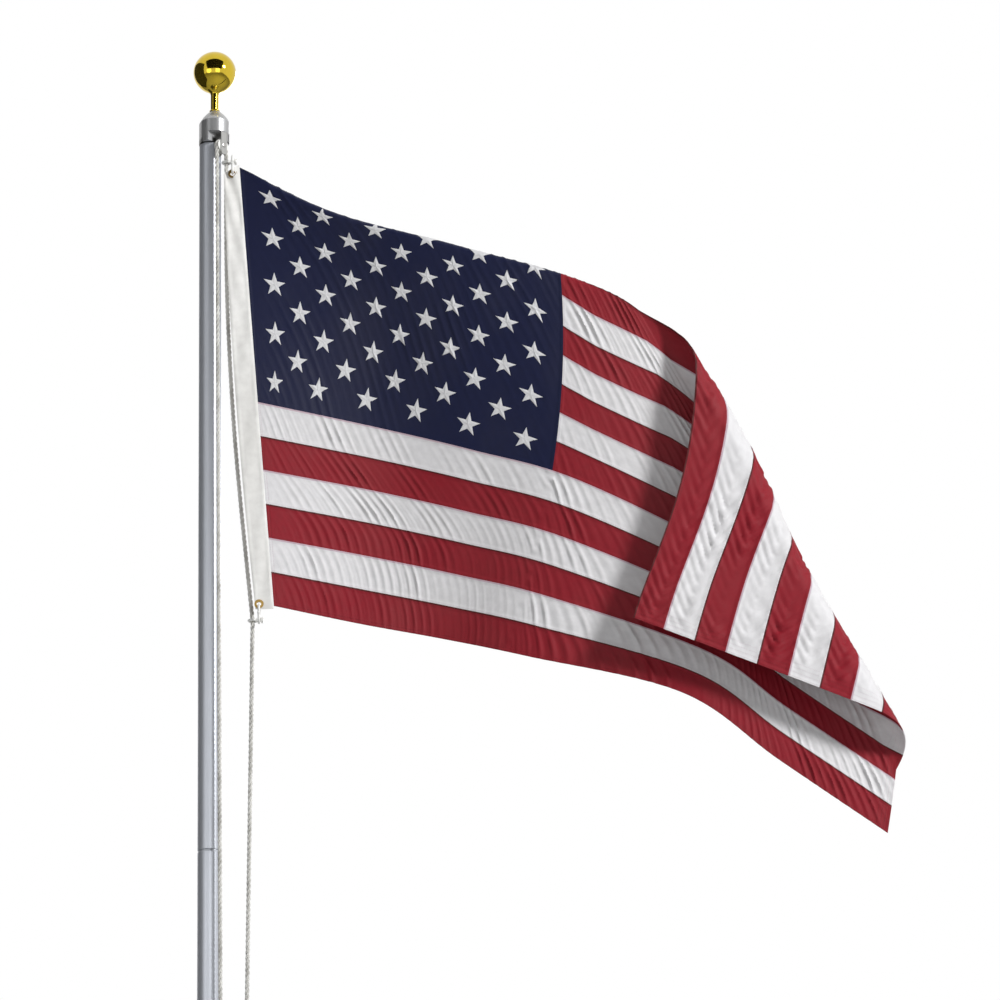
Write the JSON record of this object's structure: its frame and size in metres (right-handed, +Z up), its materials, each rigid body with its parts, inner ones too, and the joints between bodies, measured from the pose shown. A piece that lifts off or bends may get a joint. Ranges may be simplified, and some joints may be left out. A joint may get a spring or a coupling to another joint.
{
  "type": "sectional flagpole with hoisted flag",
  "caption": "Sectional aluminium flagpole with gold ball, truck and sheave, halyard, cleat and a hoisted striped flag whose fly corner is turned over.",
  "frame": {"origin": "centre of the pole's foot at ground level, on the foot plug's flat face", "axes": "+Z up along the pole, +X the way the flag flies, -Y the side the picture was taken from"},
  "size_m": [1.3734, 0.1549, 5.706],
  "materials": {
    "pole_aluminium": "satin, fine lengthwise drawing lines",
    "cast_aluminium": "cast, tumbled satin",
    "bright_metal": "bright zinc plate",
    "steel": "plain",
    "gold": "polished gold anodised",
    "sheave_nylon": "moulded nylon",
    "snap_nylon": "moulded nylon",
    "plug_plastic": "moulded",
    "halyard_rope": "braided polyester",
    "grommet_brass": "rolled, slightly dulled",
    "heading_canvas": "canvas duck",
    "flag_red": "woven nylon",
    "flag_white": "woven nylon",
    "flag_blue": "woven nylon"
  },
  "bodies": {
    "mast": {"ball_finial": "gold", "ball_stem": "gold", "cleat": "cast_aluminium", "cleat_screw_lower": "steel", "cleat_screw_upper": "steel", "flag_canton": "flag_blue", "flag_heading": "heading_canvas", "flag_stripe_01": "flag_red", "flag_stripe_02": "flag_white", "flag_stripe_03": "flag_red", "flag_stripe_04": "flag_white", "flag_stripe_05": "flag_red", "flag_stripe_06": "flag_white", "flag_stripe_07": "flag_red", "flag_stripe_08": "flag_white", "flag_stripe_09": "flag_red", "flag_stripe_10": "flag_white", "flag_stripe_11": "flag_red", "flag_stripe_12": "flag_white", "flag_stripe_13": "flag_red", "foot_plug": "plug_plastic", "grommet_bottom": "grommet_brass", "grommet_top": "grommet_brass", "halyard_cleat_turns": "halyard_rope", "halyard_crown": "halyard_rope", "halyard_down_fall": "halyard_rope", "halyard_hoist_line": "halyard_rope", "halyard_return_fall": "halyard_rope", "pole_section_1": "pole_aluminium", "pole_section_2": "pole_aluminium", "pole_section_3": "pole_aluminium", "pole_section_4": "pole_aluminium", "sheave_fork": "bright_metal", "sheave_pin": "steel", "snap_bottom": "snap_nylon", "snap_top": "snap_nylon", "truck_cap": "cast_aluminium"},
    "sheave_wheel": {"sheave": "sheave_nylon"}
  },
  "joints": [
    {"name": "sheave_spin", "type": "hinge", "parent": "mast", "child": "sheave_wheel", "pos_m": [0.02293, -0.02293, 5.497], "axis": [0.7071, -0.7071, 0], "continuous": true}
  ]
}
